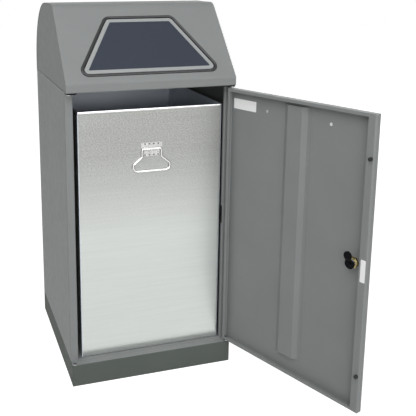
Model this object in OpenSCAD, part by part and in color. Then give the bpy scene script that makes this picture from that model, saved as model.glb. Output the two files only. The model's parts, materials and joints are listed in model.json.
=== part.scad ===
// Free-standing recycling bin: a sheet-steel cabinet on a plinth, a hood with a
// self-closing flap, a door on corner pivots and a zinc-coated inner container.
// Millimetres. X runs to the right seen from the front, Y to the rear, Z up.
// The origin is on the floor under the middle of the cabinet.
// The door stands open; every door piece is drawn closed and then swung open.

/* [Cabinet] */
// Width of the cabinet, plinth and hood
cabinet_w = 450; // [420:1:520]
// Depth of the cabinet, plinth and hood
cabinet_d = 470; // [430:1:560]
// Height of the plinth
plinth_h = 62; // [50:1:90]
// Height of the walls between the plinth and the hood
wall_h = 730; // [650:1:820]
// Thickness of the painted sheet steel
sheet_t = 1.5; // [1:0.1:2]
// Outer radius of the sheet's visible bends
bend_r = 3; // [2.5:0.5:5]
// Distance of the flanges beside the door opening behind the front plane
frame_setback = 24; // [23:0.5:32]
// Width of the flanges beside the door opening
frame_w = 21; // [18:0.5:26]
// Depth of the return behind each of these flanges
frame_return = 9; // [6:0.5:14]
// Gap between the hood and the tops of these flanges
frame_top_gap = 4; // [3:0.5:6]
// Outer radius of the tight bends along the seams and round the door's ends
seam_r = 1.4; // [1:0.1:1.4]
// Width of the flanges that join the sheets
flange_w = 15; // [12:1:20]
// Width of the flange round the top of the plinth
ledge_w = 42; // [36:1:60]
// Height of the turned-up edges of the floor
floor_edge_h = 14; // [8:1:20]

/* [Hood] */
// Height of the hood above the walls
hood_h = 208; // [190:1:240]
// Height of the upright lip over the door
lip_h = 23; // [18:1:30]
// Horizontal run of the slope
slope_run = 168; // [150:1:190]
// Outer radius of the bend between the slope and the top
brow_r = 35; // [20:1:50]
// Outer radius of the bend between the top and the back
back_r = 185; // [150:1:188]
// Distance of the hood's side panels behind the skin's edge
side_inset = 0.8; // [0.4:0.1:1.5]
// Depth of the flange round each side panel
side_flange = 12; // [8:1:20]
// Outer radius of the bend between the lip and the slope
fold_r = 8.75; // [6:0.25:12]

/* [Flap opening] */
// Distance of the rubber edging above the fold, along the slope
edging_rise = 19; // [15:0.5:24]
// Height of the edging's outline along the slope
edging_h = 188; // [170:1:196]
// Width of the edging's outline at the bottom
edging_bottom_w = 391; // [340:1:400]
// Width of the edging's outline at the top
edging_top_w = 188; // [170:1:220]
// Radius of the edging's outer corners
edging_r = 21; // [16:0.5:26]
// Least radius of the corners that lie inside the edging
inner_r = 2; // [1:0.5:4]
// Diameter of the edging's round section
edging_w = 8; // [7:0.5:9]
// Depth of the groove that grips the sheet
edging_grip = 5; // [3:0.5:6]

/* [Flap] */
// Gap between the edging and the flap
flap_gap = 1.6; // [1.4:0.1:2.5]
// Thickness of the flap's sheet
flap_t = 1; // [0.8:0.1:1.2]
// Width of the painted border round the dark insert
border_w = 10.4; // [8:0.2:14]
// Thickness of the insert
insert_t = 0.6; // [0.4:0.1:1]
// Width of each stop tab on the flap's lower edge
tab_w = 40; // [25:1:60]
// Distance of the stop tabs from the middle
tab_x = 100; // [60:1:120]
// Gap between the stop tabs and the edging
tab_gap = 0.3; // [0.2:0.1:0.6]

/* [Flap hinge] */
// Diameter of the hinge rod
rod_d = 6; // [5:0.5:7]
// Radial clearance of the ears on the rod
rod_clearance = 0.05; // [0.03:0.01:0.1]
// Distance of the rod behind the slope's face
rod_depth = 15; // [14:0.5:18]
// Distance of the rod above the flap's upper edge
rod_rise = 2; // [1:0.5:4]
// Diameter of the bosses on the ears and brackets
boss_d = 15; // [13:0.5:16]
// Distance of the ears from the middle
ear_x = 55; // [40:1:60]
// Thickness of the ears and the brackets
ear_t = 2.5; // [2:0.5:3]
// Gap between the ears and the flap's skirt
ear_gap = 1; // [0.6:0.1:1.2]
// Length of the ears along the flap
ear_l = 75; // [50:1:90]
// Width of the ears' rims round the counterweight
ear_rim = 3; // [2:0.5:5]
// Distance of the brackets from the middle
bracket_x = 71; // [66:1:76]
// Width of a bracket's foot under the hood's top
foot_w = 15; // [10:1:20]
// Length of a bracket's foot
foot_l = 12; // [8:1:16]
// Gap between a bracket's foot and the bend of the brow
foot_gap = 3; // [2:0.5:4]
// Distance that the rod stands out past its retaining rings
rod_end = 4; // [2:0.5:6]
// Diameter of the retaining rings on the rod
ring_d = 11; // [9:0.5:13]
// Thickness of the retaining rings
ring_t = 1; // [0.8:0.1:1.5]
// Diameter of the counterweight
weight_d = 24; // [20:1:26]
// Length of the counterweight
weight_l = 240; // [180:1:280]
// Distance of the counterweight from the rod
weight_reach = 65; // [55:1:66]
// Angle of the counterweight below the horizontal
weight_drop = 35; // [30:1:45]

/* [Door] */
// Thickness of the door
door_t = 18; // [15:0.5:19]
// Gap between the door's upright edges and the cabinet's sides
door_side_gap = 1; // [0.5:0.5:2]
// Gap above and below the door
door_end_gap = 7; // [6.5:0.5:10]
// Radius of the door's upright edges
door_r = 4; // [3:0.5:5]
// Width of the flange along the door's free edge
free_flange_w = 20; // [16:1:30]
// Width of the flange along the door's hinge edge
hinge_flange_w = 10; // [6:1:14]
// Width of the flanges along the door's top and bottom
end_flange_w = 8; // [6:1:14]
// Angle at which the door stands open
door_angle = 111.5; // [100:0.5:170]
// Width of the stiffener between its weld flanges
rib_w = 69; // [56:1:90]
// Width of the stiffener's crown
rib_crown_w = 43; // [30:1:50]
// Depth of the stiffener
rib_depth = 8; // [5:0.5:12]
// Width of the stiffener's weld flanges
rib_flange_w = 9; // [6:1:14]
// Outer radius of the stiffener's bends
rib_r = 4; // [3:0.5:6]
// Gap between the stiffener and the door's top
rib_top_gap = 16; // [12:1:40]
// Gap between the stiffener and the door's bottom
rib_bottom_gap = 44; // [30:1:60]
// Thickness of the stiffener's sheet
rib_t = 1; // [0.8:0.1:1.5]
// Distance between the door's two rivets
rivet_spacing = 194; // [150:1:240]
// Distance of the rivets below the door's top
rivet_drop = 45; // [30:1:80]
// Diameter of the rivet heads
rivet_d = 8; // [5:0.5:10]
// Height of the rivet heads
rivet_h = 1.6; // [1:0.2:2.4]
// Diameter of the rubber buffers
buffer_d = 9; // [7:0.5:12]
// Distance of the buffers from the free edge
buffer_inset = 7; // [5:0.5:10]
// Distance of the upper buffer below the door's top
buffer_drop = 100; // [60:1:140]
// Distance of the lower buffer above the door's bottom
buffer_rise = 94; // [60:1:140]
// Rest gap between a buffer and the flange that it meets
buffer_gap = 0.3; // [0.2:0.1:0.6]

/* [Pivots] */
// Distance of the door's axis from the side of the cabinet
pivot_x = 7.5; // [7.5:0.5:9]
// Distance of the door's axis behind the front plane
pivot_y = 6.5; // [6.5:0.5:9]
// Diameter of the pivot pins
pin_d = 5; // [4:0.5:6]
// Radial clearance of the pins in their bushes
pin_clearance = 0.05; // [0.03:0.01:0.1]
// Wall of the bushes
bush_wall = 1.4; // [1:0.1:1.5]
// Diameter of the bushes' collars
collar_d = 12; // [11:0.5:13]
// Thickness of the bushes' collars
collar_t = 1.5; // [1:0.1:2]
// Depth of the bushes below their collars
bush_l = 8; // [6:0.5:12]
// Thickness of the plates that hold the upper bushes
pivot_plate_t = 3; // [2:0.5:3.5]
// Width of these plates
pivot_plate_w = 29; // [24:1:40]
// Diameter of the pins' heads and of the lower pin's shoulder
pin_head_d = 9; // [8:0.5:10]
// Thickness of the pins' heads
pin_head_t = 4; // [3:0.5:6]
// Rest gap under the lower pin's shoulder
pin_rest_gap = 0.3; // [0.2:0.1:0.5]
// Distance of the pins' ends inside the bushes
pin_end_gap = 1; // [0.5:0.5:2]

/* [Lock] */
// Distance of the lock from the door's free edge
lock_inset = 44.5; // [38:0.5:46]
// Height of the lock above the door's bottom
lock_rise = 361; // [300:1:420]
// Diameter of the lock's barrel
barrel_d = 19; // [16:0.5:22]
// Diameter of the lock's front collar
rosette_d = 25; // [23:0.5:30]
// Thickness of the lock's front collar
rosette_t = 2.5; // [1.5:0.5:4]
// Diameter of the turning core
core_d = 10; // [8:0.5:12]
// Radial clearance of the core in the barrel
core_clearance = 0.05; // [0.03:0.01:0.1]
// Width of the square that carries the cam
square_w = 6; // [5:0.5:6.5]
// Width across the flats of the lock's nut
nut_w = 24; // [22:0.5:28]
// Thickness of the nut
nut_t = 5; // [3:0.5:8]
// Radius of the cam's hub
cam_hub_r = 12.5; // [10:0.5:14]
// Radius of the cam's tip
cam_tip_r = 10.5; // [7:0.5:11]
// Reach of the cam from its axis
cam_reach = 32.5; // [30:0.5:36]
// Thickness of the cam
cam_t = 2.5; // [2:0.5:3]
// Distance of the cam's tip behind its hub
cam_crank = 9; // [4:0.5:10]
// Gap between the flange and the locked cam
cam_gap = 0.7; // [0.4:0.1:1]
// Diameter of the screw head on the cam
cam_screw_d = 8; // [7:0.5:10]
// Thickness of the screw head on the cam
cam_screw_t = 1.6; // [1:0.2:2]
// Gap between the barrel's end and the cam
barrel_gap = 0.2; // [0.1:0.1:0.5]
// Depth of the core's face inside the collar
core_recess = 0.5; // [0.2:0.1:1]
// Width of the key's slot
key_slot_w = 1.6; // [1.2:0.1:2]
// Depth of the key's slot
key_slot_depth = 1.5; // [1:0.5:2]

/* [Container] */
// Gap between the frame's flanges and the container's front
container_front_gap = 7.5; // [7:0.5:20]
// Gap between the container and the frame's flanges
container_side_gap = 8; // [6:0.5:16]
// Gap between the container and the back wall
container_back_gap = 7; // [5:0.5:20]
// Gap between the container's rim and the walls' top
container_top_gap = 53; // [30:1:90]
// Rest gap under the container
container_rest_gap = 0.3; // [0.2:0.1:0.5]
// Distance of the container to the right of the middle
container_x = 3.5; // [-4:0.5:4]
// Thickness of the container's sheet
container_t = 1; // [0.8:0.1:1.5]
// Radius of the container's upright and lower edges
container_r = 4; // [3:0.5:8]
// Height of the folded rim
rim_h = 5; // [4:0.5:6]
// Distance that the rim stands out from the wall
rim_proud = 1.4; // [1:0.1:1.6]
// Radius of the rim's round face
rim_r = 3.5; // [3.2:0.1:5]

/* [Handle] */
// Distance of the handle's axis below the rim
handle_drop = 107.5; // [80:0.5:160]
// Width of the handle's plate above the sleeve
plate_w = 58; // [46:1:64]
// Width of the sleeve and of the plate below it
sleeve_w = 44; // [36:1:46]
// Height of the plate above the handle's axis
plate_above = 16.5; // [12:0.5:22]
// Height of the plate below the handle's axis
plate_below = 20; // [14:0.5:26]
// Thickness of the plate
plate_t = 1.2; // [1:0.1:1.5]
// Diameter of the handle's wire
wire_d = 5; // [3.5:0.25:5]
// Radial clearance of the wire in its sleeve
wire_clearance = 0.1; // [0.05:0.01:0.1]
// Gap between the sleeve's ends and the wire's bends
neck_gap = 0.3; // [0.2:0.05:1]
// Length of the straight neck
neck_h = 21; // [16:0.5:26]
// Width of the grip between the wire's centres
grip_w = 100; // [90:1:120]
// Height of the flare between the neck and the grip
flare_h = 20; // [14:0.5:26]
// Distance from the handle's axis to the bottom bar
grip_drop = 59; // [52:0.5:70]
// Radius of the grip's lower corners, at the wire's centre
grip_r = 12; // [8:0.5:16]
// Radius of the other bends, at the wire's centre
wire_r = 4; // [3.5:0.25:6]
// Diameter of the rivet heads on the plate
mark_d = 4; // [3:0.5:5]
// Height of the rivet heads on the plate
mark_h = 0.8; // [0.5:0.1:1]
// Spacing of the rivets on the plate
mark_pitch = 12; // [9:0.5:13]
// Distance of the rivets from the plate's upper and lower edges
mark_inset = 3.5; // [2.5:0.5:5]

/* [Screws] */
// Diameter of the screws between the hood and the walls
screw_d = 5; // [4:0.5:6]
// Diameter of their heads
screw_head_d = 9; // [8:0.5:10]
// Height of their heads
screw_head_h = 3; // [2:0.5:4]
// Spacing of the screws along each side
screw_pitch = 150; // [120:1:180]
// Gap between the screws' heads and the side panels
screw_gap = 0.5; // [0.3:0.1:1]
// Distance that the screws stand out past the sheets
screw_end = 3.5; // [2:0.5:6]

/* [Hidden] */
$fn = 64;
// Overlap of cutting bodies past the faces that they cut
cut = 1;

front_y = -cabinet_d / 2;
back_y = cabinet_d / 2;
side_x = cabinet_w / 2;
joint_z = plinth_h + wall_h;
fold_z = joint_z + lip_h;
top_z = joint_z + hood_h;
frame_y = front_y + frame_setback;
inner_back_y = back_y - 2 * sheet_t;

slope_rise = top_z - fold_z;
slope_angle = atan2(slope_rise, slope_run);
flap_inset = edging_w + flap_gap;
flap_top = edging_rise + edging_h - flap_inset;
rod_v = flap_top + rod_rise;
rod_y = front_y + rod_v * cos(slope_angle) + rod_depth * sin(slope_angle);
rod_z = fold_z + rod_v * sin(slope_angle) - rod_depth * cos(slope_angle);
// Height of the edging above and below the sheet
edging_proud = (edging_w - sheet_t) / 2;
// Distance of the flap's stop tabs and of its skirt's edge behind the face
tab_depth = sheet_t + edging_proud + tab_gap;
skirt_h = tab_depth + flap_t;

axis_x = side_x - pivot_x;
axis_y = front_y + pivot_y;
door_w = cabinet_w - 2 * door_side_gap;
door_bottom = plinth_h + door_end_gap;
door_top = joint_z - door_end_gap;
door_h = door_top - door_bottom;
free_x = -door_w / 2;
lock_x = free_x + lock_inset;
lock_z = door_bottom + lock_rise;
tip_y = frame_y + sheet_t + cam_gap;
cam_y = tip_y - cam_crank;
// Height of the slot that the cam passes in each flange's return
slot_h = 1.6 * cam_reach;
ledge_top = plinth_h + collar_t;

container_w = cabinet_w - 2 * (frame_w + container_side_gap);
container_front = frame_y + container_front_gap;
container_back = inner_back_y - container_back_gap;
container_bottom = plinth_h + sheet_t + container_rest_gap;
container_top = joint_z - container_top_gap;
handle_z = container_top - handle_drop;
bore_d = wire_d + 2 * wire_clearance;
sleeve_d = bore_d + 2 * plate_t;
wire_y = container_front - sleeve_d / 2;
neck_x = sleeve_w / 2 + neck_gap + wire_r;
// Extra diameter of the wire in its bends, and the lap of its straights in them
bead = 0.04;
lap = 0.3;

// Unit vector along v
function unit(v) = v / norm(v);
// Item i of a list that closes on itself
function ring_item(list, i) = list[(i + len(list)) % len(list)];
// Left-hand normal of the edge from p to q
function normal(p, q) = let (d = unit(q - p)) [-d.y, d.x];
// Corner between two edges with normals a and b, moved e to their left
function mitre(p, a, b, e) = p + (a + b) * e / (1 + a * b);
// Corners of a closed outline, listed anticlockwise and moved inwards by e
function inset(points, e) = [for (i = [0:len(points) - 1])
    let (p = points[i], a = ring_item(points, i - 1), b = ring_item(points, i + 1))
    mitre(p, normal(a, p), normal(p, b), e)];
// Half of the angle between the two edges at corner i
function half_angle(points, i) = let (p = points[i])
    acos(unit(ring_item(points, i - 1) - p) * unit(ring_item(points, i + 1) - p)) / 2;
// Length that a bend of radius r takes from each edge at corner i
function tangent(points, i, r) = r / tan(half_angle(points, i));
// Point where that bend starts on the edge towards corner j
function touch(points, i, j, r) =
    points[i] + unit(ring_item(points, j) - points[i]) * tangent(points, i, r);
// Centre of the bend of radius r at corner i
function bend_centre(points, i, r) = let (p = points[i])
    p + unit(unit(ring_item(points, i - 1) - p) + unit(ring_item(points, i + 1) - p))
    * r / sin(half_angle(points, i));

// Closed convex outline with a round corner of its own radius at each point
module rounded(points, radii) {
    last = len(points) - 1;
    intersection() {
        polygon(points);
        union() {
            polygon([for (i = [0:last]) each [touch(points, i, i - 1, radii[i]),
                touch(points, i, i + 1, radii[i])]]);
            for (i = [0:last]) if (radii[i] > 0)
                translate(bend_centre(points, i, radii[i])) circle(r = radii[i]);
        }
    }
}

// Rectangle from corner a to corner b with round corners
module rounded_box(a, b, r) {
    rounded([a, [b.x, a.y], b, [a.x, b.y]], [r, r, r, r]);
}

// Points along the bend of radius r at the middle one of three points
function bend_points(a, p, b, r, steps = 6) = let (
        u = unit(a - p), w = unit(b - p), half = acos(u * w) / 2,
        c = p + unit(u + w) * r / sin(half), start = p + u * r / tan(half) - c,
        turn = (180 - 2 * half) * sign(cross(p - a, b - p)))
    [for (i = [0:steps]) let (t = turn * i / steps)
        c + [start.x * cos(t) - start.y * sin(t), start.x * sin(t) + start.y * cos(t)]];
// Path moved t to its left
function shifted(path, t) = let (last = len(path) - 1) [for (i = [0:last])
    i == 0 ? path[0] + normal(path[0], path[1]) * t :
    i == last ? path[last] + normal(path[last - 1], path[last]) * t :
    mitre(path[i], normal(path[i - 1], path[i]), normal(path[i], path[i + 1]), t)];
// Path with its inner corners bent to radius r, where a shift t changes the radius
function bent(path, r, t) = let (last = len(path) - 1) [path[0],
    for (i = [1:last - 1]) let (a = path[i - 1], p = path[i], b = path[i + 1])
        each bend_points(a, p, b, r - t * sign(cross(p - a, b - p))),
    path[last]];
// Folded sheet seen on edge: the path is one face, the sheet lies to its left
module folded(path, r, t) {
    back = bent(shifted(path, t), r, t);
    polygon(concat(bent(path, r, 0), [for (i = [len(back) - 1:-1:0]) back[i]]));
}

// Sheet of thickness t in the plane x = from, drawn as a (y, z) outline
module across_x(from, t) {
    translate([from, 0, 0]) rotate([90, 0, 90]) linear_extrude(t) children();
}

// Frame on the slope: x across, y up the slope, z out of its face
module on_slope() {
    translate([0, front_y, fold_z]) rotate([slope_angle, 0, 0]) children();
}

// Swings what is drawn on the closed door open
module on_door() {
    translate([axis_x, axis_y, 0]) rotate([0, 0, door_angle]) translate([-axis_x, -axis_y, 0])
        children();
}

// Cylinder along y from the point at, towards the rear
module lying(at, d, l) {
    translate(at) rotate([-90, 0, 0]) cylinder(d = d, h = l);
}

// Bar along y that cuts an edge at the origin to radius r; the body lies towards +x and +z
module edge_cut(r) {
    rotate([90, 0, 0]) linear_extrude(cabinet_w + cabinet_d, center = true) difference() {
        translate([-cut, -cut]) square(r + cut);
        translate([r, r]) circle(r = r);
    }
}

// Cuts the lower edges round a box with the corners a and b to radius r
module lower_edges_cut(a, b, r) {
    translate([a.x, 0, 0]) edge_cut(r);
    translate([b.x, 0, 0]) mirror([1, 0, 0]) edge_cut(r);
    translate([0, a.y, 0]) rotate([0, 0, 90]) edge_cut(r);
    translate([0, b.y, 0]) rotate([0, 0, -90]) edge_cut(r);
}

module both_sides() {
    children();
    mirror([1, 0, 0]) children();
}

// Closed round wire through the points, in the (x, y) plane
module wire_loop(points, radii, d) {
    last = len(points) - 1;
    for (i = [0:last]) {
        j = (i + 1) % len(points);
        start = touch(points, i, i + 1, radii[i]);
        stop = touch(points, j, i, radii[j]);
        run = stop - start;
        centre = bend_centre(points, i, radii[i]);
        before = touch(points, i, i - 1, radii[i]) - centre;
        turn = cross(ring_item(points, i) - ring_item(points, i - 1), run);
        sweep = 180 - 2 * half_angle(points, i);
        from = atan2(before.y, before.x);
        translate([start.x, start.y, 0]) rotate([0, 90, atan2(run.y, run.x)])
            translate([0, 0, -lap]) cylinder(d = d, h = norm(run) + 2 * lap);
        translate([centre.x, centre.y, 0]) rotate([0, 0, turn > 0 ? from : from - sweep])
            rotate_extrude(angle = sweep) translate([radii[i], 0]) circle(d = d + bead);
    }
}

// Corners of the hood seen from its side, moved inwards by e except at the bottom
function hood_corners(e) = let (
        full = [[front_y, joint_z], [back_y, joint_z], [back_y, top_z],
            [front_y + slope_run, top_z], [front_y, fold_z]],
        inner = inset(full, e))
    [[inner[0].x, joint_z], [inner[1].x, joint_z], inner[2], inner[3], inner[4]];
function hood_radii(e) = let (low = e > 0 ? 0 : bend_r) [low, low, back_r - e, brow_r - e, fold_r - e];

module hood_outline(e) {
    rounded(hood_corners(e), hood_radii(e));
}

// Corners of the opening on the slope, e inside the edging's outer edge
function opening_corners(e) = let (
        low = edging_rise, high = edging_rise + edging_h,
        b = edging_bottom_w / 2, t = edging_top_w / 2)
    inset([[-b, low], [b, low], [t, high], [-t, high]], e);

// Outline on the slope, e inside the edging's outer edge
module opening_outline(e) {
    r = max(edging_r - e, inner_r);
    points = opening_corners(e);
    polygon([for (i = [0:3])
        each bend_points(ring_item(points, i - 1), points[i], ring_item(points, i + 1), r, 12)]);
}

module plinth() {
    a = [-side_x, front_y];
    b = [side_x, back_y];
    t = [sheet_t, sheet_t];
    ledge = [ledge_w, ledge_w];
    foot = [flange_w, flange_w];
    color("dimgray") difference() {
        linear_extrude(plinth_h) rounded_box(a, b, bend_r);
        translate([0, 0, sheet_t]) linear_extrude(plinth_h - 2 * sheet_t)
            rounded_box(a + t, b - t, bend_r - sheet_t);
        translate([0, 0, -cut]) linear_extrude(plinth_h) rounded_box(a + foot, b - foot, bend_r);
        translate([0, 0, cut]) linear_extrude(plinth_h) rounded_box(a + ledge, b - ledge, bend_r);
        both_sides() translate([axis_x, axis_y, plinth_h - sheet_t - cut])
            cylinder(d = bush_d(), h = sheet_t + 2 * cut);
        lower_edges_cut(a, b, bend_r);
        translate([0, 0, plinth_h]) mirror([0, 0, 1]) lower_edges_cut(a, b, seam_r);
    }
}

// Outer diameter of the pivot bushes
function bush_d() = pin_d + 2 * (pin_clearance + bush_wall);

module floor_panel() {
    w = cabinet_w - 2 * sheet_t;
    back = back_y - 2 * sheet_t;
    start = frame_y + sheet_t + frame_return + 1;
    color("gray") translate([0, 0, plinth_h]) {
        translate([-side_x + frame_w, frame_y, 0])
            cube([cabinet_w - 2 * frame_w, start - frame_y, sheet_t]);
        difference() {
            translate([-w / 2, start, 0]) cube([w, back - start, floor_edge_h]);
            translate([-w / 2 + sheet_t, start - cut, sheet_t])
                cube([w - 2 * sheet_t, back - start - sheet_t + cut, floor_edge_h]);
        }
    }
}

module side_wall() {
    path = [[-side_x + flange_w, back_y], [-side_x, back_y], [-side_x, frame_y],
        [-side_x + frame_w, frame_y], [-side_x + frame_w, frame_y + frame_return]];
    inside = -side_x + sheet_t / 2;
    top_y = frame_y + bend_r;
    difference() {
        union() {
            difference() {
                translate([0, 0, plinth_h]) linear_extrude(wall_h) folded(path, bend_r, sheet_t);
                translate([-side_x + bend_r, frame_y - cut, joint_z - frame_top_gap])
                    cube([frame_w, frame_return + 2 * cut, frame_top_gap + cut]);
            }
            translate([inside, top_y, joint_z - sheet_t])
                cube([flange_w - sheet_t / 2, inner_back_y - top_y, sheet_t]);
        }
        translate([-side_x, 0, joint_z]) mirror([0, 0, 1]) edge_cut(seam_r);
        translate([-side_x, 0, plinth_h]) edge_cut(seam_r);
        translate([-side_x + frame_w - sheet_t - cut, frame_y + sheet_t, lock_z - slot_h / 2])
            cube([sheet_t + 2 * cut, frame_return, slot_h]);
        for (k = [-1:1]) translate([screw_x() - side_x, k * screw_pitch, joint_z - sheet_t - cut])
            cylinder(d = screw_d, h = sheet_t + 2 * cut);
    }
}

// Distance of the hood's screws from the cabinet's side
function screw_x() = side_inset + sheet_t + screw_head_d / 2 + screw_gap;

module side_wall_left() {
    color("darkgray") side_wall();
}

module side_wall_right() {
    color("darkgray") mirror([1, 0, 0]) side_wall();
}

module back_panel() {
    w = cabinet_w - 2 * bend_r;
    color("darkgray") {
        translate([-w / 2, back_y - 2 * sheet_t, plinth_h]) cube([w, sheet_t, wall_h]);
        translate([-w / 2 + flange_w, back_y - 2 * sheet_t - flange_w, joint_z - sheet_t])
            cube([w - 2 * flange_w, flange_w + sheet_t / 2, sheet_t]);
    }
}

module pivot_plates() {
    chamfer = pivot_plate_w / 4;
    x = side_x - sheet_t;
    inner_x = side_x - pivot_plate_w;
    y = front_y + sheet_t;
    color("gainsboro") both_sides() difference() {
        translate([0, 0, joint_z - pivot_plate_t]) linear_extrude(pivot_plate_t)
            polygon([[x, y], [x, frame_y], [inner_x, frame_y], [inner_x, y + chamfer],
                [inner_x + chamfer, y]]);
        translate([axis_x, axis_y, joint_z - pivot_plate_t - cut])
            cylinder(d = bush_d(), h = pivot_plate_t + 2 * cut);
    }
}

module bush() {
    difference() {
        union() {
            cylinder(d = collar_d, h = collar_t);
            translate([0, 0, -bush_l]) cylinder(d = bush_d(), h = bush_l + collar_t / 2);
        }
        translate([0, 0, -bush_l - cut]) cylinder(d = pin_d + 2 * pin_clearance,
            h = bush_l + collar_t + 2 * cut);
    }
}

module pivot_bushes() {
    color("silver") both_sides() translate([axis_x, axis_y, 0]) {
        translate([0, 0, plinth_h]) bush();
        translate([0, 0, joint_z - pivot_plate_t]) mirror([0, 0, 1]) bush();
    }
}

module hood_skin() {
    color("darkgray") difference() {
        across_x(-side_x, cabinet_w) difference() {
            hood_outline(0);
            difference() {
                hood_outline(sheet_t);
                translate([front_y, joint_z]) square([frame_setback, sheet_t]);
                translate([back_y - flange_w, joint_z]) square([flange_w, sheet_t]);
            }
        }
        on_slope() translate([0, 0, -sheet_t - cut])
            linear_extrude(sheet_t + 2 * cut) opening_outline(edging_grip);
        both_sides() translate([axis_x, axis_y, joint_z - cut])
            cylinder(d = bush_d(), h = sheet_t + 2 * cut);
    }
}

module hood_side() {
    color("gray") difference() {
        across_x(side_inset - side_x, side_flange) hood_outline(sheet_t);
        translate([side_inset - side_x, 0, joint_z]) edge_cut(bend_r);
        across_x(side_inset - side_x + sheet_t, side_flange) {
            difference() {
                hood_outline(2 * sheet_t);
                translate([front_y, joint_z]) square([cabinet_d, sheet_t]);
            }
            translate([front_y, joint_z]) square([pivot_y, bush_l]);
        }
        across_x(-side_x, 2 * side_flange) {
            translate([front_y, joint_z]) square([frame_setback, sheet_t]);
            translate([back_y - flange_w, joint_z]) square([flange_w, sheet_t]);
        }
        for (k = [-1:1]) translate([screw_x() - side_x, k * screw_pitch, joint_z - cut])
            cylinder(d = screw_d, h = sheet_t + 2 * cut);
    }
}

module hood_side_left() {
    hood_side();
}

module hood_side_right() {
    mirror([1, 0, 0]) hood_side();
}

module hood_screws() {
    color("silver") both_sides() for (k = [-1:1])
        translate([screw_x() - side_x, k * screw_pitch, joint_z - sheet_t]) {
            translate([0, 0, -screw_head_h]) cylinder(d = screw_head_d, h = screw_head_h);
            cylinder(d = screw_d, h = 2 * sheet_t + screw_end);
        }
}

module opening_edging() {
    r = edging_r - edging_w / 2;
    color("black") on_slope() translate([0, 0, -sheet_t]) difference() {
        translate([0, 0, sheet_t / 2])
            wire_loop(opening_corners(edging_w / 2), [r, r, r, r], edging_w);
        linear_extrude(sheet_t) difference() {
            square(2 * cabinet_w, center = true);
            opening_outline(edging_grip);
        }
    }
}

// Brackets that hang from the underside of the hood's top
module flap_brackets() {
    rod = [rod_y, rod_z];
    under = top_z - sheet_t;
    foot_y = front_y + slope_run + brow_r * tan(slope_angle / 2) + foot_gap;
    along = unit([foot_y + foot_l / 2, under] - rod);
    side = [-along.y, along.x] * boss_d / 3;
    color("silver") both_sides() difference() {
        union() {
            across_x(bracket_x, ear_t) {
                translate(rod) circle(d = boss_d);
                polygon([rod + side, rod - side, [foot_y + foot_l, under], [foot_y, under]]);
            }
            translate([bracket_x, foot_y, under - ear_t]) cube([foot_w, foot_l, ear_t]);
        }
        translate([bracket_x - cut, rod_y, rod_z]) rotate([0, 90, 0])
            cylinder(d = rod_d, h = ear_t + 2 * cut);
    }
}

module flap_rod() {
    l = 2 * (bracket_x + ear_t + rod_end);
    color("silver") on_slope() translate([-l / 2, rod_v, -rod_depth]) rotate([0, 90, 0])
        cylinder(d = rod_d, h = l);
}

module rod_rings() {
    color("silver") on_slope() both_sides()
        translate([bracket_x + ear_t, rod_v, -rod_depth]) rotate([0, 90, 0]) difference() {
            cylinder(d = ring_d, h = ring_t);
            translate([0, 0, -cut]) cylinder(d = rod_d, h = ring_t + 2 * cut);
        }
}

module flap_panel() {
    low = edging_rise + flap_inset;
    color("darkgray") on_slope() {
        difference() {
            translate([0, 0, -skirt_h]) linear_extrude(skirt_h) opening_outline(flap_inset);
            translate([0, 0, -flap_t - skirt_h]) linear_extrude(skirt_h)
                opening_outline(flap_inset + flap_t);
        }
        both_sides() translate([tab_x - tab_w / 2, low - edging_w, -skirt_h])
            cube([tab_w, edging_w + flap_t, flap_t]);
    }
}

module flap_insert() {
    color("darkslategray") on_slope() linear_extrude(insert_t)
        opening_outline(flap_inset + border_w);
}

// Centre of the counterweight on the slope's frame, as distances up and out of it
function weight_at() = let (a = -weight_drop - slope_angle)
    [rod_v, -rod_depth] + weight_reach * [cos(a), sin(a)];

module flap_ears() {
    to = weight_at();
    along = unit(to - [rod_v, -rod_depth]);
    side = [-along.y, along.x] * boss_d / 3;
    skirt_v = flap_top - flap_t - ear_gap;
    color("silver") on_slope() both_sides() difference() {
        across_x(ear_x, ear_t) {
            translate([rod_v, -rod_depth]) circle(d = boss_d);
            translate(to) circle(d = weight_d + 2 * ear_rim);
            polygon([[rod_v, -rod_depth] + side, to + side, to - side, [rod_v, -rod_depth] - side]);
            polygon([[rod_v - ear_l, -flap_t], [rod_v, -rod_depth - boss_d / 3],
                [rod_v, -rod_depth + boss_d / 2], [skirt_v, -skirt_h - ear_gap],
                [skirt_v, -flap_t]]);
        }
        translate([ear_x - cut, rod_v, -rod_depth]) rotate([0, 90, 0])
            cylinder(d = rod_d + 2 * rod_clearance, h = ear_t + 2 * cut);
        translate([ear_x - cut, to.x, to.y]) rotate([0, 90, 0])
            cylinder(d = weight_d, h = ear_t + 2 * cut);
    }
}

module flap_counterweight() {
    at = weight_at();
    color("dimgray") on_slope() translate([-weight_l / 2, at.x, at.y]) rotate([0, 90, 0])
        cylinder(d = weight_d, h = weight_l);
}

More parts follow.
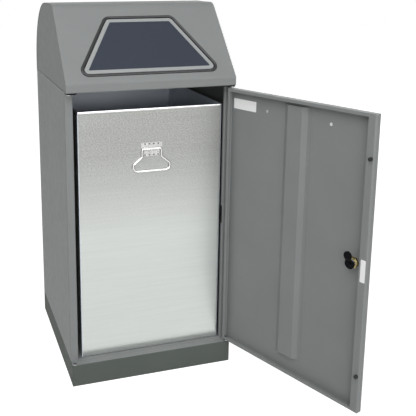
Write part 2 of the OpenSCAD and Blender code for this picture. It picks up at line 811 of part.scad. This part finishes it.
module door_shell() {
    low = [free_x, front_y];
    high = [-free_x, front_y + door_t];
    t = [sheet_t, sheet_t];
    color("darkgray") on_door() difference() {
        translate([0, 0, door_bottom]) linear_extrude(door_h) rounded_box(low, high, door_r);
        translate([0, 0, door_bottom + sheet_t]) linear_extrude(door_h - 2 * sheet_t)
            rounded_box(low + t, high - t, door_r - sheet_t);
        translate([0, 0, door_bottom]) lower_edges_cut(low, high, seam_r);
        translate([0, 0, door_top]) mirror([0, 0, 1]) lower_edges_cut(low, high, seam_r);
        translate([free_x + free_flange_w, front_y + door_t - sheet_t - cut,
            door_bottom + end_flange_w])
            cube([door_w - free_flange_w - hinge_flange_w, sheet_t + 2 * cut,
                door_h - 2 * end_flange_w]);
        translate([axis_x, axis_y, door_bottom - cut]) cylinder(d = pin_d, h = door_h + 2 * cut);
        lying([lock_x, front_y - cut, lock_z], barrel_d, sheet_t + 2 * cut);
        for (s = [-1, 1]) lying([s * rivet_spacing / 2, front_y - cut, door_top - rivet_drop],
            rivet_d / 2, sheet_t + 2 * cut);
    }
}

module door_stiffener() {
    x = (free_flange_w - hinge_flange_w) / 2;
    y = front_y + sheet_t;
    top = y + rib_depth - rib_t;
    half = rib_w / 2;
    crown = rib_crown_w / 2;
    path = [[-half - rib_flange_w, y], [-half, y], [-crown, top], [crown, top], [half, y],
        [half + rib_flange_w, y]];
    color("darkgray") on_door() translate([x, 0, door_bottom + rib_bottom_gap])
        linear_extrude(door_h - rib_top_gap - rib_bottom_gap) folded(path, rib_r, rib_t);
}

module door_rivets() {
    color("silver") on_door() for (s = [-1, 1]) {
        at = [s * rivet_spacing / 2, front_y, door_top - rivet_drop];
        lying(at, rivet_d / 2, sheet_t);
        lying(at + [0, sheet_t, 0], rivet_d, rivet_h);
        lying(at - [0, rivet_h / 2, 0], rivet_d, rivet_h / 2);
    }
}

module door_buffers() {
    l = frame_setback - door_t - buffer_gap;
    color("black") on_door() for (z = [door_top - buffer_drop, door_bottom + buffer_rise])
        lying([free_x + buffer_inset, front_y + door_t, z], buffer_d, l);
}

// Pivot pin with its head inside the door, pointing up
module pivot_pin(reach) {
    cylinder(d = pin_d, h = reach);
    translate([0, 0, -sheet_t - pin_head_t]) cylinder(d = pin_head_d, h = pin_head_t);
    translate([0, 0, -sheet_t - pin_head_t / 2]) cylinder(d = pin_d, h = sheet_t + pin_head_t / 2);
}

module lower_pivot_pin() {
    shoulder = door_bottom - ledge_top - pin_rest_gap;
    color("silver") on_door() translate([axis_x, axis_y, door_bottom]) mirror([0, 0, 1]) {
        pivot_pin(door_end_gap + bush_l - pin_end_gap);
        cylinder(d = pin_head_d, h = shoulder);
    }
}

module upper_pivot_pin() {
    color("silver") on_door() translate([axis_x, axis_y, door_top])
        pivot_pin(door_end_gap - pivot_plate_t + bush_l - pin_end_gap);
}

// Distance from the front plane to the end of the lock's barrel
function barrel_l() = cam_y - front_y - barrel_gap;

module lock_barrel() {
    color("silver") on_door() difference() {
        union() {
            lying([lock_x, front_y - rosette_t, lock_z], rosette_d, rosette_t);
            lying([lock_x, front_y, lock_z], barrel_d, barrel_l());
        }
        lying([lock_x, front_y - rosette_t - cut, lock_z], core_d + 2 * core_clearance,
            barrel_l() + rosette_t + 2 * cut);
    }
}

module lock_nut() {
    color("goldenrod") on_door() difference() {
        translate([lock_x, front_y + sheet_t, lock_z]) rotate([-90, 0, 0])
            cylinder(d = nut_w / cos(30), h = nut_t, $fn = 6);
        lying([lock_x, front_y + sheet_t - cut, lock_z], barrel_d, nut_t + 2 * cut);
    }
}

module lock_core() {
    face_y = front_y - rosette_t + core_recess;
    slot = [key_slot_w, key_slot_depth + cut, core_d * 0.7];
    color("silver") on_door() difference() {
        union() {
            lying([lock_x, face_y, lock_z], core_d, cam_y - face_y);
            translate([lock_x - square_w / 2, cam_y, lock_z - square_w / 2])
                cube([square_w, cam_t, square_w]);
        }
        translate([lock_x - slot.x / 2, face_y - cut, lock_z - slot.z / 2]) cube(slot);
    }
}

module lock_cam() {
    rise = cam_reach - cam_tip_r;
    waist = cam_tip_r * 0.8;
    bend_at = cam_screw_d / 2 + cam_t;
    path = [[-cam_hub_r - cut, cam_y], [bend_at, cam_y], [bend_at + cam_crank, tip_y],
        [cam_reach + cut, tip_y]];
    color("black") on_door() translate([lock_x, 0, lock_z]) difference() {
        intersection() {
            translate([0, cam_y - cut, 0]) rotate([-90, 0, 0]) mirror([0, 1, 0])
                linear_extrude(cam_crank + cam_t + 2 * cut) {
                    circle(r = cam_hub_r);
                    translate([0, rise]) circle(r = cam_tip_r);
                    translate([-waist, 0]) square([2 * waist, rise]);
                }
            rotate([0, -90, 0]) translate([0, 0, -cam_hub_r - cut])
                linear_extrude(2 * cam_hub_r + 2 * cut) folded(path, cam_t, cam_t);
        }
        translate([-square_w / 2, cam_y - cut, -square_w / 2])
            cube([square_w, cam_t + 2 * cut, square_w]);
    }
}

module cam_screw() {
    color("silver") on_door() lying([lock_x, cam_y + cam_t, lock_z], cam_screw_d, cam_screw_t);
}

// Rim seen on edge, from the wall's inner face outwards; the wall's outer face is at x = 0
module rim_profile() {
    intersection() {
        translate([rim_proud - rim_r, -rim_h / 2]) circle(r = rim_r);
        translate([-container_t, -rim_h]) square([container_t + rim_proud, rim_h]);
    }
}

// Rim along a rectangle from corner a to corner b with corners of radius r
module rim(a, b, r) {
    side = b - a - [2 * r, 2 * r];
    for (k = [0:3]) {
        at = [k == 0 || k == 3 ? b.x - r : a.x + r, k < 2 ? b.y - r : a.y + r];
        run = k % 2 == 0 ? side.y : side.x;
        translate([at.x, at.y, 0]) rotate([0, 0, 90 * k]) {
            rotate_extrude(angle = 90) translate([r, 0]) rim_profile();
            rotate([90, 0, 0]) linear_extrude(run) translate([r, 0]) rim_profile();
        }
    }
}

module container_shell() {
    a = [container_x - container_w / 2, container_front];
    b = [container_x + container_w / 2, container_back];
    t = [container_t, container_t];
    h = container_top - container_bottom - rim_h / 2;
    color("lightgray") {
        translate([0, 0, container_bottom]) difference() {
            linear_extrude(h) rounded_box(a, b, container_r);
            lower_edges_cut(a, b, container_r);
            translate([0, 0, container_t]) difference() {
                linear_extrude(h) rounded_box(a + t, b - t, container_r - container_t);
                lower_edges_cut(a + t, b - t, container_r - container_t);
            }
        }
        translate([0, 0, container_top]) rim(a, b, container_r);
    }
}

module handle_plate() {
    x = sleeve_w / 2;
    y = container_front - plate_t;
    color("lightgray") translate([container_x, 0, handle_z]) difference() {
        union() {
            translate([-x, y, -plate_below]) cube([sleeve_w, plate_t, plate_below + plate_above]);
            translate([-plate_w / 2, y, sleeve_d / 2])
                cube([plate_w, plate_t, plate_above - sleeve_d / 2]);
            translate([-x, wire_y, 0]) rotate([0, 90, 0]) cylinder(d = sleeve_d, h = sleeve_w);
        }
        translate([-x - cut, wire_y, 0]) rotate([0, 90, 0])
            cylinder(d = bore_d, h = sleeve_w + 2 * cut);
    }
}

module handle_rivets() {
    y = container_front - plate_t - mark_h;
    color("silver") for (i = [-1.5:1:1.5], z = [plate_above - mark_inset, mark_inset - plate_below])
        lying([container_x + i * mark_pitch, y, handle_z + z], mark_d, mark_h);
}

module handle_bail() {
    g = grip_w / 2;
    flare_z = -neck_h - flare_h;
    points = [[-neck_x, 0], [-neck_x, -neck_h], [-g, flare_z], [-g, -grip_drop],
        [g, -grip_drop], [g, flare_z], [neck_x, -neck_h], [neck_x, 0]];
    radii = [wire_r, wire_r, wire_r, grip_r, grip_r, wire_r, wire_r, wire_r];
    color("silver") translate([container_x, wire_y, handle_z]) rotate([90, 0, 0])
        wire_loop(points, radii, wire_d);
}

plinth();
floor_panel();
side_wall_left();
side_wall_right();
back_panel();
pivot_plates();
pivot_bushes();
hood_skin();
hood_side_left();
hood_side_right();
hood_screws();
opening_edging();
flap_brackets();
flap_rod();
rod_rings();
flap_panel();
flap_insert();
flap_ears();
flap_counterweight();
door_shell();
door_stiffener();
door_rivets();
door_buffers();
lower_pivot_pin();
upper_pivot_pin();
lock_barrel();
lock_nut();
lock_core();
lock_cam();
cam_screw();
container_shell();
handle_plate();
handle_rivets();
handle_bail();
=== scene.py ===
import json
import math

import bmesh
import bpy
from mathutils import Euler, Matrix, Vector


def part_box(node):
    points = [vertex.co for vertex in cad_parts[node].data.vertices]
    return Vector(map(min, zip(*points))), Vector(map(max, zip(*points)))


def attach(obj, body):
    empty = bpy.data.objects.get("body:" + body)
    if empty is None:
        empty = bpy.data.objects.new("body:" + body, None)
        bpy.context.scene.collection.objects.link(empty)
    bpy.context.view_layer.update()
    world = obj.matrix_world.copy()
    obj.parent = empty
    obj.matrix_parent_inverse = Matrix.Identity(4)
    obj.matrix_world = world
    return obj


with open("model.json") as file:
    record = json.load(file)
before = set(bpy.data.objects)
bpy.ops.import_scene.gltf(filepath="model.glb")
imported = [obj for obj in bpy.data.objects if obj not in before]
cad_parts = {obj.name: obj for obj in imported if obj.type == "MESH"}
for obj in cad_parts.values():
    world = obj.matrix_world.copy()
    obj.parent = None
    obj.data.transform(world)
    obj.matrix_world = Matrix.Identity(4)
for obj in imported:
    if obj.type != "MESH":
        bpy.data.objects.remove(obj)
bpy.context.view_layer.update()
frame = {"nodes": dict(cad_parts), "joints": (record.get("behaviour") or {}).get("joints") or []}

NODES = frame["nodes"]

scene = bpy.context.scene


# Nodes that the materials share

NOISE_LOW, NOISE_HIGH = 0.3, 0.7     # the range that a noise mostly stays in


def new_material(name):
    """A material with one shader, and the socket of the object's own coordinates."""
    material = bpy.data.materials.new(name)
    material.use_nodes = True
    tree = material.node_tree
    tree.nodes.clear()
    output = tree.nodes.new("ShaderNodeOutputMaterial")
    shader = tree.nodes.new("ShaderNodeBsdfPrincipled")
    tree.links.new(shader.outputs[0], output.inputs[0])
    coordinates = tree.nodes.new("ShaderNodeTexCoord")
    return material, tree, shader, coordinates.outputs["Object"]


def noise(tree, place, scale, detail=2.0, roughness=0.5):
    node = tree.nodes.new("ShaderNodeTexNoise")
    node.inputs["Scale"].default_value = scale
    node.inputs["Detail"].default_value = detail
    node.inputs["Roughness"].default_value = roughness
    tree.links.new(place, node.inputs["Vector"])
    return node.outputs["Fac"]


def stretched(tree, place, scale):
    node = tree.nodes.new("ShaderNodeMapping")
    node.inputs["Scale"].default_value = scale
    tree.links.new(place, node.inputs["Vector"])
    return node.outputs[0]


def color_ramp(tree, value, low_color, high_color, low=NOISE_LOW, high=NOISE_HIGH):
    node = tree.nodes.new("ShaderNodeValToRGB")
    first, last = node.color_ramp.elements
    first.position, first.color = low, (*low_color, 1)
    last.position, last.color = high, (*high_color, 1)
    tree.links.new(value, node.inputs[0])
    return node.outputs[0]


def to_range(tree, value, to_low, to_high, low=0.0, high=1.0):
    node = tree.nodes.new("ShaderNodeMapRange")
    node.inputs["From Min"].default_value = low
    node.inputs["From Max"].default_value = high
    node.inputs["To Min"].default_value = to_low
    node.inputs["To Max"].default_value = to_high
    tree.links.new(value, node.inputs["Value"])
    return node.outputs[0]


def mix_colors(tree, first, second, blend="MIX"):
    """Join two colours. The node's input 0 is the share of the second, its output 2 the result."""
    node = tree.nodes.new("ShaderNodeMix")
    node.data_type = "RGBA"
    node.blend_type = blend
    tree.links.new(first, node.inputs[6])
    tree.links.new(second, node.inputs[7])
    return node


def bump(tree, shader, height, distance):
    node = tree.nodes.new("ShaderNodeBump")
    node.inputs["Distance"].default_value = distance
    tree.links.new(height, node.inputs["Height"])
    tree.links.new(node.outputs[0], shader.inputs["Normal"])


def shade(color, factor):
    return tuple(min(1.0, part * factor) for part in color)


# Materials

def paint(name, color, rough=0.55, peel=0.00004, spread=0.03, shine=0.25):
    """Powder coat: orange peel of the given depth (m), slight mottling, and roughness in soft patches."""
    material, tree, shader, place = new_material(name)
    mottling = noise(tree, place, scale=7.0, detail=3.0)
    orange_peel = noise(tree, place, scale=1400.0, detail=2.0, roughness=0.6)
    patches = noise(tree, place, scale=45.0, detail=4.0)
    mottled = color_ramp(tree, mottling, shade(color, 1 - spread), shade(color, 1 + spread))
    patchy = to_range(tree, patches, rough - 0.05, rough + 0.05, NOISE_LOW, NOISE_HIGH)
    tree.links.new(mottled, shader.inputs["Base Color"])
    tree.links.new(patchy, shader.inputs["Roughness"])
    shader.inputs["Specular IOR Level"].default_value = shine
    bump(tree, shader, orange_peel, peel)
    return material


def zinc(name, color, metallic=0.7, tilt=0.0002, top=0.75):
    """Zinc-coated sheet: calm below, livelier spangles and a painted reflection of dark surroundings
    above, and faint rolling streaks all over.

    The painted reflection darkens the upper part to the share "top" of the colour, and "tilt" (m) is the
    spangles' relief.
    """
    rough = 0.2
    shade_start, shade_end = 0.4, 0.62     # heights (m) between which calm turns into lively and the painted reflection fades in
    crisp_low, crisp_high = 0.38, 0.62   # a narrower range of the noise, which sharpens the spangles
    material, tree, shader, place = new_material(name)
    split = tree.nodes.new("ShaderNodeSeparateXYZ")
    tree.links.new(place, split.inputs[0])
    # 0 below and 1 above: the share of the painted reflection's darkening
    painted_shade_share = to_range(tree, split.outputs["Z"], 0.0, 1.0, shade_start, shade_end)
    flattened = stretched(tree, place, (1.0, 1.0, 1.5))
    spangle = noise(tree, flattened, scale=270.0, detail=2.0, roughness=0.7)
    drawn_out = stretched(tree, place, (1.5, 1.5, 50.0))
    streak = noise(tree, drawn_out, scale=3.0, detail=3.0, roughness=0.6)
    # The colour darkened to the share "top": the painted reflection on the upper part
    shaded_tone = (color[0] * top * 1.01, color[1] * top * 0.98, color[2] * top * 0.98)
    calm = color_ramp(tree, spangle, shade(color, 0.98), shade(color, 1.02))
    lively_shaded = color_ramp(tree, spangle, shade(shaded_tone, 0.8), shade(shaded_tone, 1.2), crisp_low, crisp_high)
    rolled = color_ramp(tree, streak, (0.94,) * 3, (1.0,) * 3)
    sheet = mix_colors(tree, calm, lively_shaded)
    tree.links.new(painted_shade_share, sheet.inputs[0])
    streaked = mix_colors(tree, sheet.outputs[2], rolled, "MULTIPLY")
    streaked.inputs[0].default_value = 1.0
    tree.links.new(streaked.outputs[2], shader.inputs["Base Color"])
    shader.inputs["Metallic"].default_value = metallic
    tree.links.new(to_range(tree, streak, rough - 0.03, rough + 0.03), shader.inputs["Roughness"])
    bump(tree, shader, spangle, tilt)
    return material


def metal(name, color, rough, spread=0.05):
    """Bare or plated metal with fine level lines."""
    material, tree, shader, place = new_material(name)
    lines = noise(tree, stretched(tree, place, (1.0, 1.0, 30.0)), scale=300.0, detail=3.0)
    lined = color_ramp(tree, lines, shade(color, 1 - spread), shade(color, 1 + spread))
    worn = to_range(tree, lines, rough * 0.75, rough * 1.3, NOISE_LOW, NOISE_HIGH)
    tree.links.new(lined, shader.inputs["Base Color"])
    shader.inputs["Metallic"].default_value = 1.0
    tree.links.new(worn, shader.inputs["Roughness"])
    bump(tree, shader, lines, distance=0.00002)
    return material


def rubber(name, color, rough):
    """Grainy rubber in lighter and darker patches."""
    material, tree, shader, place = new_material(name)
    grain = noise(tree, place, scale=900.0, detail=3.0)
    patches = noise(tree, place, scale=60.0)
    patchy = color_ramp(tree, patches, shade(color, 0.8), shade(color, 1.25))
    grainy = to_range(tree, grain, rough - 0.08, rough + 0.08, NOISE_LOW, NOISE_HIGH)
    tree.links.new(patchy, shader.inputs["Base Color"])
    tree.links.new(grainy, shader.inputs["Roughness"])
    bump(tree, shader, grain, distance=0.00005)
    return material


def paper(name, color):
    """Pale paper with faint fibres."""
    material, tree, shader, place = new_material(name)
    fibres = noise(tree, place, scale=700.0, detail=3.0)
    fibrous = color_ramp(tree, fibres, shade(color, 0.96), shade(color, 1.02))
    tree.links.new(fibrous, shader.inputs["Base Color"])
    shader.inputs["Roughness"].default_value = 0.5
    bump(tree, shader, fibres, distance=0.00002)
    return material


GREY = (0.228, 0.238, 0.237)
# The plinth's darker grey, which all but its upward faces get: painted shade
PLINTH_SHADED_GREY = (0.108, 0.122, 0.111)
SLATE = (0.024, 0.031, 0.047)
ZINC = (0.54, 0.565, 0.545)
PLATE_ZINC = (0.66, 0.68, 0.665)
# A paler bluish zinc for the container's inside: painted light
PAINTED_LIGHT_ZINC = (0.78, 0.84, 0.92)
BLACK = (0.002, 0.002, 0.003)

MATERIALS = {
    "hood": paint("hood_paint", GREY, shine=0.15),
    "wall": paint("wall_paint", GREY),
    "plinth": paint("plinth_shaded_paint", PLINTH_SHADED_GREY, rough=0.6, shine=0.06),
    "inner": paint("inner_paint", GREY),
    "border": paint("border_paint", shade(GREY, 1.35), rough=0.42, shine=0.4),
    "slate": paint("slate_film", SLATE, rough=0.45, spread=0.05, peel=0.000004),
    # zinc() paints a reflection's shade on the upper part, less of it on the handle's plate
    "zinc": zinc("zinc_sheet", ZINC),
    "zinc_inside_painted_light": paint("zinc_inside_painted_light", PAINTED_LIGHT_ZINC, rough=0.35, spread=0.05, shine=0.5),
    # The folded rim's zinc is paler than the sheet: a painted highlight
    "zinc_rim_painted_highlight": metal("zinc_rim_painted_highlight", (0.86, 0.87, 0.87), rough=0.3, spread=0.03),
    "zinc_plate": zinc("zinc_plate", PLATE_ZINC, metallic=0.8, tilt=0.00006, top=0.9),
    "zinc_small": metal("zinc_small", (0.55, 0.56, 0.56), rough=0.35),
    "steel": metal("turned_steel", (0.5, 0.51, 0.52), rough=0.3),
    "chrome": metal("plated_wire", (0.74, 0.74, 0.73), rough=0.14, spread=0.02),
    "brass": metal("turned_brass", (0.33, 0.27, 0.13), rough=0.3),
    # Dark cast metal of the counterweight, also painted shade on the handle's rivets
    "cast": metal("cast_weight_and_painted_shade", (0.12, 0.12, 0.12), rough=0.5),
    # Black coat of the lock's cam and screw, and painted shade on the pivot plates
    "black": paint("black_coat_and_painted_shade", BLACK, rough=0.5, peel=0.00002, shine=0.06),
    "rubber": rubber("edging_rubber", (0.011, 0.011, 0.013), rough=0.3),
    "buffer": rubber("buffer_rubber", (0.005, 0.005, 0.005), rough=0.7),
    "label": paper("label_paper", (0.92, 0.93, 0.92)),
}
USE = {
    "hood_skin": "hood", "hood_side_left": "hood", "hood_side_right": "hood",
    "side_wall_left": "wall", "side_wall_right": "wall", "back_panel": "wall",
    # The pivot plates are black: painted shade under the hood's lip
    "floor_panel": "wall", "plinth": "plinth", "pivot_plates": "black",
    "pivot_bushes": "steel", "hood_screws": "zinc_small", "opening_edging": "rubber",
    "flap_brackets": "zinc_small", "flap_rod": "steel", "rod_rings": "steel",
    "flap_panel": "border", "flap_insert": "slate", "flap_ears": "zinc_small",
    "flap_counterweight": "cast",
    "door_shell": "inner", "door_stiffener": "inner", "door_rivets": "zinc_small",
    "door_buffers": "buffer", "lower_pivot_pin": "steel", "upper_pivot_pin": "steel",
    "lock_barrel": "chrome", "lock_nut": "brass",
    "lock_core": "chrome", "lock_cam": "black", "cam_screw": "black",
    # The handle's rivets are dark: painted shade, dark dots on the plate
    "container_shell": "zinc", "handle_plate": "zinc_plate", "handle_rivets": "cast",
    "handle_bail": "chrome",
}


def dress_nodes():
    """Give each CAD node its one material."""
    for name, obj in NODES.items():
        mesh = obj.data
        mesh.materials.clear()
        mesh.materials.append(MATERIALS[USE[name]])
        mesh.polygons.foreach_set("material_index", [0] * len(mesh.polygons))


def dress_container():
    """Give the inside of the container painted light, a paler bluish paint, and its folded rim a painted
    highlight, a paler zinc.
    """
    rim_height = 0.0055
    skin = 0.0018     # a little more than the folded rim stands out from the walls
    mesh = NODES["container_shell"].data
    low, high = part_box("container_shell")
    mesh.materials.append(MATERIALS["zinc_inside_painted_light"])
    mesh.materials.append(MATERIALS["zinc_rim_painted_highlight"])
    for face in mesh.polygons:
        middle = face.center
        within = all(low[i] + skin < middle[i] < high[i] - skin for i in (0, 1))
        if middle.z > high[2] - rim_height:
            # the folded rim: painted highlight
            face.material_index = 2
        elif within and middle.z > low[2] + skin:
            # the inside: painted light
            face.material_index = 1


def paint_light_on_plinth_top():
    """Paint the upward faces of the plinth like the walls, so that only its other faces carry the darker
    grey of painted shade.
    """
    nearly_up = 0.9
    mesh = NODES["plinth"].data
    mesh.materials.append(MATERIALS["wall"])
    for face in mesh.polygons:
        if face.normal.z > nearly_up:
            face.material_index = 1


dress_nodes()
dress_container()
paint_light_on_plinth_top()


# Blank labels on the door, in metres and placed as on the closed door

HINGE = next(joint for joint in frame["joints"] if joint["name"] == "door_hinge")
DOOR_OPEN = math.radians(-HINGE["range_deg"][0])
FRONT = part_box("plinth")[0][1]
DOOR_SHEET = 0.0015          # thickness of the door's sheet
DOOR_DEPTH = 0.018           # depth of the door's flanges
LABEL_THICKNESS = 0.00025
LABEL_RADIUS = 0.0015
LABEL_BEVEL = 0.0001
CORNER_STEPS = 4


def opened(x, y, z):
    """A point of the closed door where the open door of the rest pose holds it."""
    hinge_x, hinge_y = HINGE["pos_m"][:2]
    cos, sin = math.cos(DOOR_OPEN), math.sin(DOOR_OPEN)
    x, y = x - hinge_x, y - hinge_y
    return (hinge_x + cos * x - sin * y, hinge_y + sin * x + cos * y, z)


def add_label(name, left, right, bottom, top, y):
    """A thin sticker with round corners, its face towards +Y on the closed door."""
    inset = LABEL_RADIUS
    corners = ((right - inset, top - inset, 0), (left + inset, top - inset, 90),
               (left + inset, bottom + inset, 180), (right - inset, bottom + inset, 270))
    bevel_start = 0.7 * LABEL_THICKNESS
    layers = ((0.0, LABEL_RADIUS), (bevel_start, LABEL_RADIUS),
              (LABEL_THICKNESS, LABEL_RADIUS - LABEL_BEVEL))
    bm = bmesh.new()
    rings = []
    for depth, radius in layers:
        ring = []
        for corner_x, corner_z, start in corners:
            for step in range(CORNER_STEPS + 1):
                angle = math.radians(start + 90 * step / CORNER_STEPS)
                x = corner_x + radius * math.cos(angle)
                z = corner_z + radius * math.sin(angle)
                ring.append(bm.verts.new(opened(x, y + depth, z)))
        rings.append(ring)
    for back, front in zip(rings, rings[1:]):
        for i in range(len(back)):
            following = (i + 1) % len(back)
            bm.faces.new((back[i], back[following], front[following], front[i]))
    bm.faces.new(rings[0][::-1])
    bm.faces.new(rings[-1])
    bmesh.ops.recalc_face_normals(bm, faces=bm.faces)
    mesh = bpy.data.meshes.new(name)
    bm.to_mesh(mesh)
    bm.free()
    mesh.materials.append(MATERIALS["label"])
    obj = bpy.data.objects.new(name, mesh)
    scene.collection.objects.link(obj)
    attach(obj, "door")


add_label("door_label_wide", left=0.136, right=0.214, bottom=0.731, top=0.758, y=FRONT + DOOR_SHEET)
add_label("door_label_narrow", left=-0.221, right=-0.208, bottom=0.396, top=0.450, y=FRONT + DOOR_DEPTH)


# Floor and world

def seen_directly(tree):
    """1 for rays from the camera, off glossy surfaces and through clear ones, else 0."""
    path = tree.nodes.new("ShaderNodeLightPath")
    total = path.outputs["Is Camera Ray"]
    for kind in ("Is Glossy Ray", "Is Transmission Ray"):
        either = tree.nodes.new("ShaderNodeMath")
        either.operation = "MAXIMUM"
        tree.links.new(total, either.inputs[0])
        tree.links.new(path.outputs[kind], either.inputs[1])
        total = either.outputs[0]
    return total


def floor_material():
    """Pale paper that glows for direct sight, and less so at some distance in front of the bin."""
    grey = (0.5, 0.5, 0.5, 1)
    near_glow, far_glow = 0.91, 0.5
    near_y, far_y = -1.5, -2.1     # the paper's glow falls between these distances in front
    material = bpy.data.materials.new("floor_paper")
    material.use_nodes = True
    tree = material.node_tree
    tree.nodes.clear()
    output = tree.nodes.new("ShaderNodeOutputMaterial")
    unseen = tree.nodes.new("ShaderNodeBsdfDiffuse")
    unseen.inputs[0].default_value = grey
    lit = tree.nodes.new("ShaderNodeBsdfDiffuse")
    lit.inputs[0].default_value = grey
    coordinates = tree.nodes.new("ShaderNodeTexCoord")
    split = tree.nodes.new("ShaderNodeSeparateXYZ")
    tree.links.new(coordinates.outputs["Object"], split.inputs[0])
    glow = tree.nodes.new("ShaderNodeEmission")
    tree.links.new(to_range(tree, split.outputs["Y"], far_glow, near_glow, far_y, near_y), glow.inputs[1])
    shown = tree.nodes.new("ShaderNodeAddShader")
    tree.links.new(lit.outputs[0], shown.inputs[0])
    tree.links.new(glow.outputs[0], shown.inputs[1])
    pick = tree.nodes.new("ShaderNodeMixShader")
    tree.links.new(seen_directly(tree), pick.inputs[0])
    tree.links.new(unseen.outputs[0], pick.inputs[1])
    tree.links.new(shown.outputs[0], pick.inputs[2])
    tree.links.new(pick.outputs[0], output.inputs[0])
    return material


def add_floor():
    reach = 12.0
    bm = bmesh.new()
    for x, y in ((-reach, -reach), (reach, -reach), (reach, reach), (-reach, reach)):
        bm.verts.new((x, y, 0))
    bm.faces.new(bm.verts)
    mesh = bpy.data.meshes.new("floor")
    bm.to_mesh(mesh)
    bm.free()
    mesh.materials.append(floor_material())
    obj = bpy.data.objects.new("floor", mesh)
    scene.collection.objects.link(obj)


def add_world():
    """White for direct sight, and a faint even light for everything else."""
    fill_light, backdrop = 0.17, 1.0
    world = bpy.data.worlds.new("studio")
    world.use_nodes = True
    tree = world.node_tree
    tree.nodes.clear()
    output = tree.nodes.new("ShaderNodeOutputWorld")
    pick = tree.nodes.new("ShaderNodeMixShader")
    tree.links.new(seen_directly(tree), pick.inputs[0])
    for socket, strength in enumerate((fill_light, backdrop), start=1):
        background = tree.nodes.new("ShaderNodeBackground")
        background.inputs[0].default_value = (1, 1, 1, 1)
        background.inputs[1].default_value = strength
        tree.links.new(background.outputs[0], pick.inputs[socket])
    tree.links.new(pick.outputs[0], output.inputs[0])
    scene.world = world


# Lamps: place and target in metres, width and height in metres, power in watts

LAMPS = {
    "key": ((-1.3, -1.6, 2.8), (0, 0, 0.6), (2.0, 2.0), 38),
    "over": ((0.2, -2.2, 3.0), (0, 0, 0.6), (2.4, 2.0), 32),
    "left": ((-3.2, -0.2, 1.4), (0, 0, 0.6), (2.0, 2.0), 4),
    "front": ((0.2, -3.6, 1.02), (0, 0, 0.75), (3.2, 0.9), 48),
    "behind": ((2.6, 2.8, 1.2), (0, 0, 0.5), (2.4, 2.0), 40),
}


def add_lamp(name, place, target, size, watts):
    lamp = bpy.data.lights.new(name, "AREA")
    lamp.shape = "RECTANGLE"
    lamp.size, lamp.size_y = size
    lamp.energy = watts
    obj = bpy.data.objects.new(name, lamp)
    scene.collection.objects.link(obj)
    obj.location = place
    obj.rotation_mode = "QUATERNION"
    obj.rotation_quaternion = (Vector(target) - Vector(place)).to_track_quat("-Z", "Y")


# Camera, fitted to the corners in the photograph

CAMERA_PLACE = (-0.5368, -1.9066, 1.0862)
CAMERA_ANGLES = (78.021, 0.079, -16.967)     # degrees about X, Y and Z
PICTURE_PX = 416
FOCAL_LENGTH_PX = 704.8
CENTRE_X_PX, CENTRE_Y_PX = 143.7, 120.0      # where the lens axis meets the picture
SENSOR_MM = 36.0


def add_camera():
    """The photograph is cropped off its lens axis, so the camera has a shift.

    The best fit has a still larger one, which would hide the hood in other views.
    """
    camera = bpy.data.cameras.new("camera")
    camera.sensor_width = SENSOR_MM
    camera.lens = FOCAL_LENGTH_PX / PICTURE_PX * SENSOR_MM
    camera.shift_x = 0.5 - CENTRE_X_PX / PICTURE_PX
    camera.shift_y = CENTRE_Y_PX / PICTURE_PX - 0.5
    camera.clip_start, camera.clip_end = 0.05, 60
    obj = bpy.data.objects.new("camera", camera)
    scene.collection.objects.link(obj)
    obj.location = CAMERA_PLACE
    obj.rotation_euler = Euler([math.radians(angle) for angle in CAMERA_ANGLES], "XYZ")
    scene.camera = obj


add_floor()
add_world()
for lamp_name, settings in LAMPS.items():
    add_lamp(lamp_name, *settings)
add_camera()
scene.view_settings.view_transform = "Standard"
